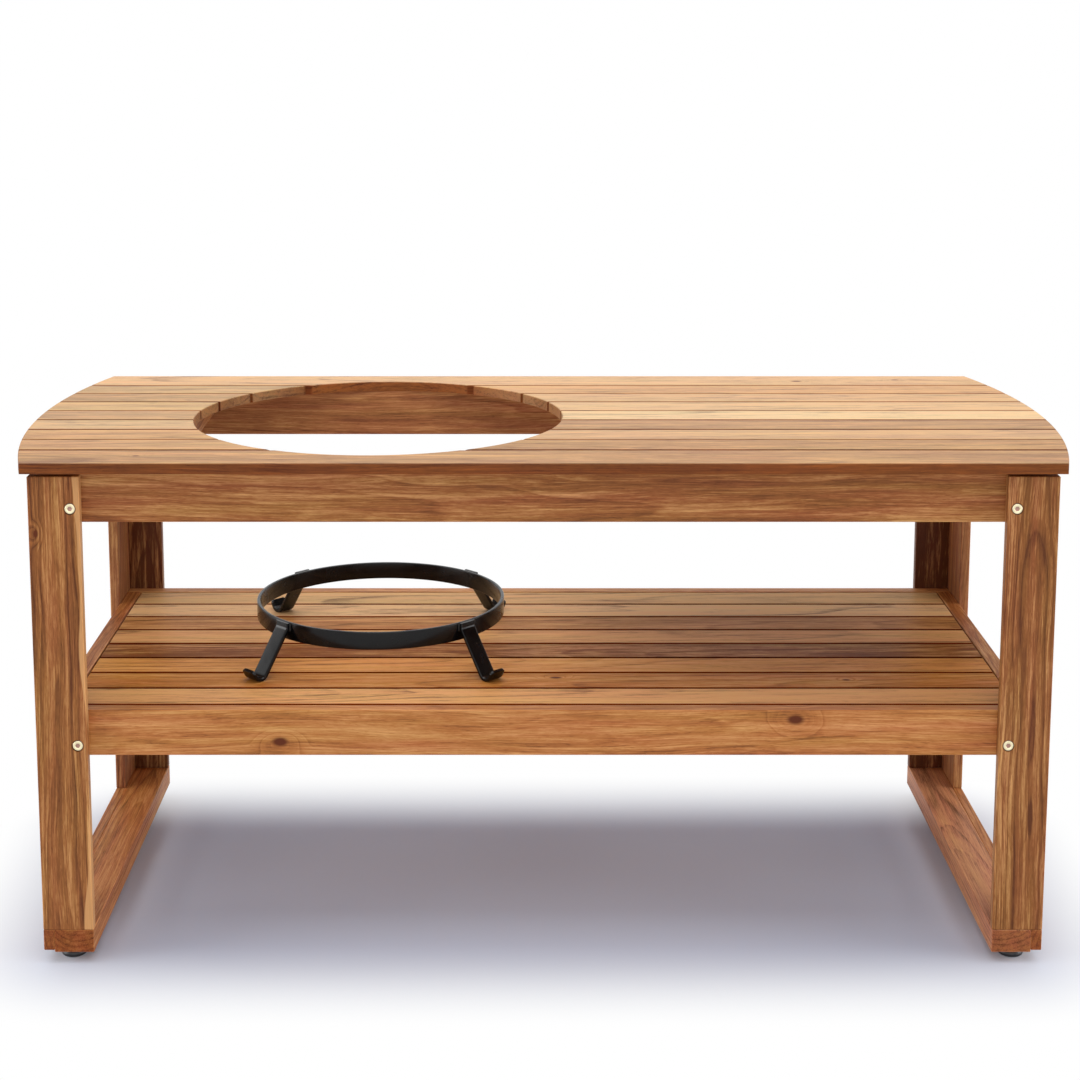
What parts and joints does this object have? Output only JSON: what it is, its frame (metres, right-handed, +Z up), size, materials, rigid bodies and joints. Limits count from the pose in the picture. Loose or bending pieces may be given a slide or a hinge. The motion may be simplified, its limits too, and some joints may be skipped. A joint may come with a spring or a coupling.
{
  "type": "kamado grill table",
  "caption": "Slatted hardwood patio table with bowed ends, a round cut-out that a kamado grill drops into, a slatted lower shelf and a steel cradle for the grill's base.",
  "frame": {"origin": "on the floor under the middle of the table, at the centre of its outline", "axes": "+X along the table's length to the user's right, +Y across its depth away from the user, +Z up"},
  "size_m": [1.5, 0.65, 0.72],
  "materials": {
    "oiled_acacia": "oiled, satin",
    "zinc_plated_steel": "yellow zinc plated",
    "foot_plastic": "moulded, matt",
    "black_steel": "gloss black powder coat"
  },
  "bodies": {
    "table": {"back_left_leg_face_board": "oiled_acacia", "back_left_leg_side_board": "oiled_acacia", "back_right_leg_face_board": "oiled_acacia", "back_right_leg_side_board": "oiled_acacia", "foot_inserts": "zinc_plated_steel", "front_left_leg_face_board": "oiled_acacia", "front_left_leg_side_board": "oiled_acacia", "front_right_leg_face_board": "oiled_acacia", "front_right_leg_side_board": "oiled_acacia", "joint_bolts": "zinc_plated_steel", "left_runner": "oiled_acacia", "left_runner_strip": "oiled_acacia", "right_runner": "oiled_acacia", "right_runner_strip": "oiled_acacia", "shelf_back_rail": "oiled_acacia", "shelf_front_rail": "oiled_acacia", "shelf_left_batten": "oiled_acacia", "shelf_left_end_rail": "oiled_acacia", "shelf_right_batten": "oiled_acacia", "shelf_right_end_rail": "oiled_acacia", "shelf_slat_1": "oiled_acacia", "shelf_slat_2": "oiled_acacia", "shelf_slat_3": "oiled_acacia", "shelf_slat_4": "oiled_acacia", "shelf_slat_5": "oiled_acacia", "shelf_slat_6": "oiled_acacia", "shelf_slat_7": "oiled_acacia", "shelf_slat_8": "oiled_acacia", "sleeve_nuts": "zinc_plated_steel", "top_back_rail": "oiled_acacia", "top_back_slat": "oiled_acacia", "top_front_rail": "oiled_acacia", "top_front_slat": "oiled_acacia", "top_left_batten": "oiled_acacia", "top_left_end_rail": "oiled_acacia", "top_left_slat_1": "oiled_acacia", "top_left_slat_2": "oiled_acacia", "top_left_slat_3": "oiled_acacia", "top_left_slat_4": "oiled_acacia", "top_left_slat_5": "oiled_acacia", "top_left_slat_6": "oiled_acacia", "top_left_slat_7": "oiled_acacia", "top_middle_batten": "oiled_acacia", "top_right_batten": "oiled_acacia", "top_right_end_rail": "oiled_acacia", "top_right_slat_1": "oiled_acacia", "top_right_slat_2": "oiled_acacia", "top_right_slat_3": "oiled_acacia", "top_right_slat_4": "oiled_acacia", "top_right_slat_5": "oiled_acacia", "top_right_slat_6": "oiled_acacia", "top_right_slat_7": "oiled_acacia"},
    "grill_cradle": {"cradle_ring": "black_steel", "cradle_legs": "black_steel"},
    "back_left_levelling_foot_body": {"back_left_levelling_foot": "foot_plastic"},
    "back_right_levelling_foot_body": {"back_right_levelling_foot": "foot_plastic"},
    "front_left_levelling_foot_body": {"front_left_levelling_foot": "foot_plastic"},
    "front_right_levelling_foot_body": {"front_right_levelling_foot": "foot_plastic"}
  },
  "joints": [
    {"name": "cradle_lift", "type": "slide", "parent": "table", "child": "grill_cradle", "axis": [0, 0, 1], "range_m": [0, 0.42]},
    {"name": "back_left_foot_adjust", "type": "slide", "parent": "table", "child": "back_left_levelling_foot_body", "axis": [0, 0, -1], "range_m": [0, 0.01]},
    {"name": "back_right_foot_adjust", "type": "slide", "parent": "table", "child": "back_right_levelling_foot_body", "axis": [0, 0, -1], "range_m": [0, 0.01]},
    {"name": "front_left_foot_adjust", "type": "slide", "parent": "table", "child": "front_left_levelling_foot_body", "axis": [0, 0, -1], "range_m": [0, 0.01]},
    {"name": "front_right_foot_adjust", "type": "slide", "parent": "table", "child": "front_right_levelling_foot_body", "axis": [0, 0, -1], "range_m": [0, 0.01]}
  ]
}
